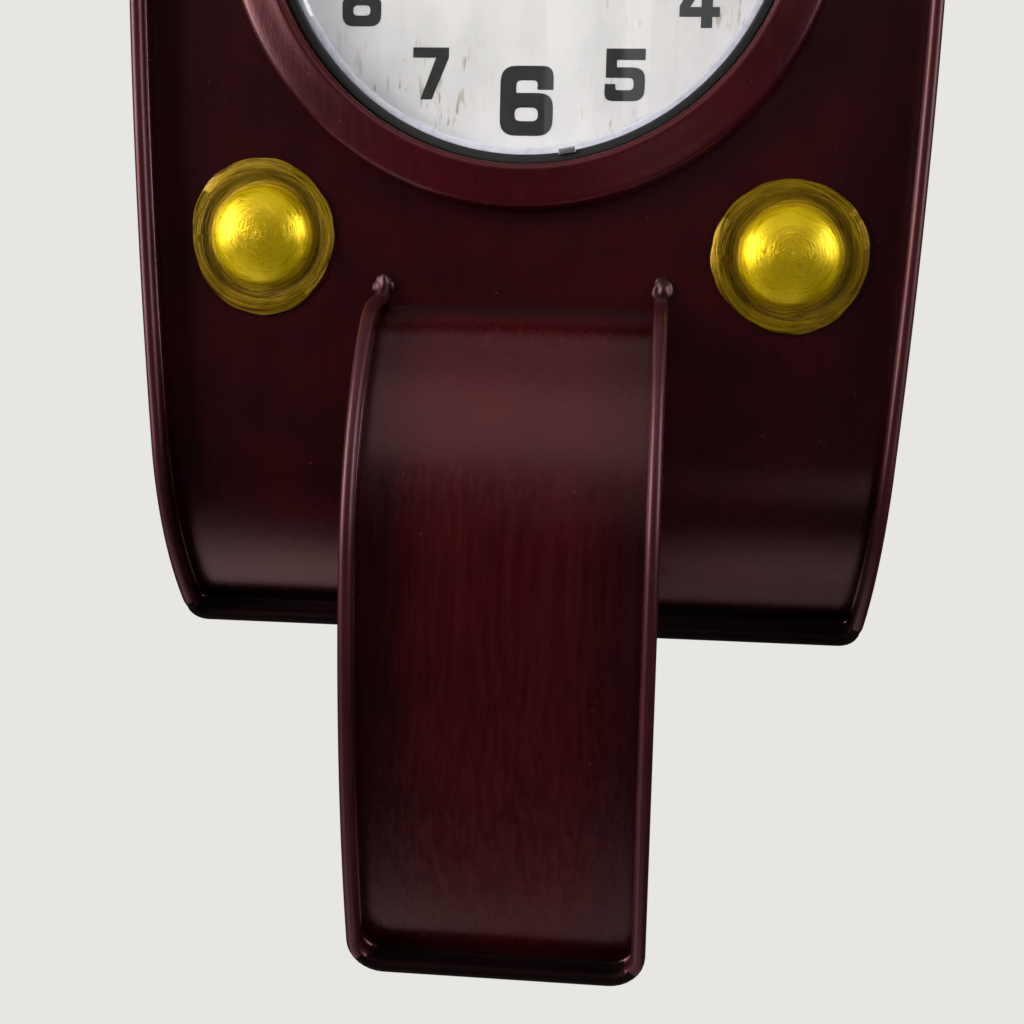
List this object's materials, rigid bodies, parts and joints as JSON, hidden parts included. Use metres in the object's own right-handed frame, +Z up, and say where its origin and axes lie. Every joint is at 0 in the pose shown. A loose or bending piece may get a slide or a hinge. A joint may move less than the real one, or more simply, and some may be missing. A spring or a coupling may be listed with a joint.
{
  "type": "wall clock",
  "caption": "Decorative wall clock in maroon painted sheet steel shaped like a scooter front, with an arched rimmed panel, round dial under glass, yellow dome lamps and a curved mudguard.",
  "frame": {"origin": "on the back face of the hanger bracket, just above its keyhole, on the plane of symmetry and in the plane of the wall", "axes": "+Z up, -Y out of the wall towards the viewer, +X to the viewer's right"},
  "size_m": [0.3118, 0.1007, 0.5709],
  "materials": {
    "panel_paint": "satin",
    "rim_paint": "satin",
    "bezel_paint": "satin",
    "lamp_lacquer": "gloss",
    "clear_glass": "polished",
    "black_rubber": "matt",
    "spacer_plastic": "satin",
    "dial_print": "matt",
    "dial_aluminium": "satin",
    "zinc_steel": "satin",
    "hand_paint": "satin",
    "black_plastic": "matt",
    "white_plastic": "matt",
    "brass": "polished",
    "copper_wire": "lacquered",
    "board_green": "satin",
    "magnet_grey": "matt",
    "battery_wrap": "gloss"
  },
  "bodies": {
    "clock": {"body_panel": "panel_paint", "panel_rim": "rim_paint", "mudguard": "panel_paint", "mudguard_rim": "rim_paint", "weld_bead_left": "panel_paint", "weld_bead_right": "panel_paint", "lamp_left": "lamp_lacquer", "lamp_right": "lamp_lacquer", "lamp_stud_left": "zinc_steel", "lamp_stud_right": "zinc_steel", "lamp_nut_left": "zinc_steel", "lamp_nut_right": "zinc_steel", "bezel_ring": "bezel_paint", "dial_gasket": "black_rubber", "glass": "clear_glass", "glass_clip_1": "zinc_steel", "glass_clip_2": "zinc_steel", "glass_clip_3": "zinc_steel", "dial_spacer_ring": "spacer_plastic", "dial_card": "dial_print", "dial_plate": "dial_aluminium", "dial_pan": "zinc_steel", "bezel_stud_1": "zinc_steel", "bezel_stud_2": "zinc_steel", "bezel_stud_3": "zinc_steel", "bezel_nut_1": "zinc_steel", "bezel_nut_2": "zinc_steel", "bezel_nut_3": "zinc_steel", "hanger_bracket": "zinc_steel", "wall_post_left": "zinc_steel", "wall_post_right": "zinc_steel", "rubber_foot_left": "black_rubber", "rubber_foot_right": "black_rubber", "shaft_nut": "brass", "shaft_washer": "brass", "movement_case": "black_plastic", "movement_cover": "black_plastic", "train_bridge": "white_plastic", "stator": "zinc_steel", "coil_core": "zinc_steel", "coil": "copper_wire", "circuit_board": "board_green", "quartz_crystal": "dial_aluminium", "timing_chip": "black_plastic", "battery": "battery_wrap", "contact_positive": "brass", "contact_negative": "brass"},
    "hour": {"hour_hand": "hand_paint", "hour_wheel": "white_plastic"},
    "minute": {"minute_hand": "hand_paint", "minute_wheel": "white_plastic", "hand_nut": "brass"},
    "second": {"second_hand": "hand_paint", "second_wheel": "white_plastic"},
    "third": {"third_wheel": "white_plastic"},
    "reverser": {"reverser_wheel": "white_plastic"},
    "knob": {"setting_knob": "black_plastic"},
    "intermediate": {"intermediate_wheel": "white_plastic"},
    "rotor": {"rotor": "magnet_grey"}
  },
  "joints": [
    {"name": "second_turn", "type": "hinge", "parent": "clock", "child": "second", "pos_m": [0, -0.024, -0.134], "axis": [0, 1, 0], "continuous": true},
    {"name": "hour_turn", "type": "hinge", "parent": "clock", "child": "hour", "pos_m": [0, -0.024, -0.134], "axis": [0, 1, 0], "continuous": true},
    {"name": "minute_turn", "type": "hinge", "parent": "clock", "child": "minute", "pos_m": [0, -0.024, -0.134], "axis": [0, 1, 0], "continuous": true},
    {"name": "third_turn", "type": "hinge", "parent": "clock", "child": "third", "pos_m": [0, -0.024, -0.123], "axis": [0, 1, 0], "continuous": true},
    {"name": "reverser_turn", "type": "hinge", "parent": "clock", "child": "reverser", "pos_m": [-0.00886, -0.024, -0.13556], "axis": [0, 1, 0], "continuous": true},
    {"name": "knob_turn", "type": "hinge", "parent": "clock", "child": "knob", "pos_m": [-0.01783, -0.024, -0.13635], "axis": [0, 1, 0], "continuous": true},
    {"name": "intermediate_turn", "type": "hinge", "parent": "clock", "child": "intermediate", "pos_m": [0.00677, -0.024, -0.13154], "axis": [0, 1, 0], "continuous": true},
    {"name": "rotor_turn", "type": "hinge", "parent": "clock", "child": "rotor", "pos_m": [0.01225, -0.024, -0.12769], "axis": [0, 1, 0], "continuous": true}
  ],
  "couplings": [
    {"joint": "minute_turn", "follows": "second_turn", "ratio": 0.016667},
    {"joint": "hour_turn", "follows": "second_turn", "ratio": 0.0013889},
    {"joint": "third_turn", "follows": "second_turn", "ratio": -0.13333},
    {"joint": "reverser_turn", "follows": "second_turn", "ratio": -0.0055556},
    {"joint": "knob_turn", "follows": "second_turn", "ratio": 0.016667},
    {"joint": "intermediate_turn", "follows": "second_turn", "ratio": -5},
    {"joint": "rotor_turn", "follows": "second_turn", "ratio": 30}
  ]
}
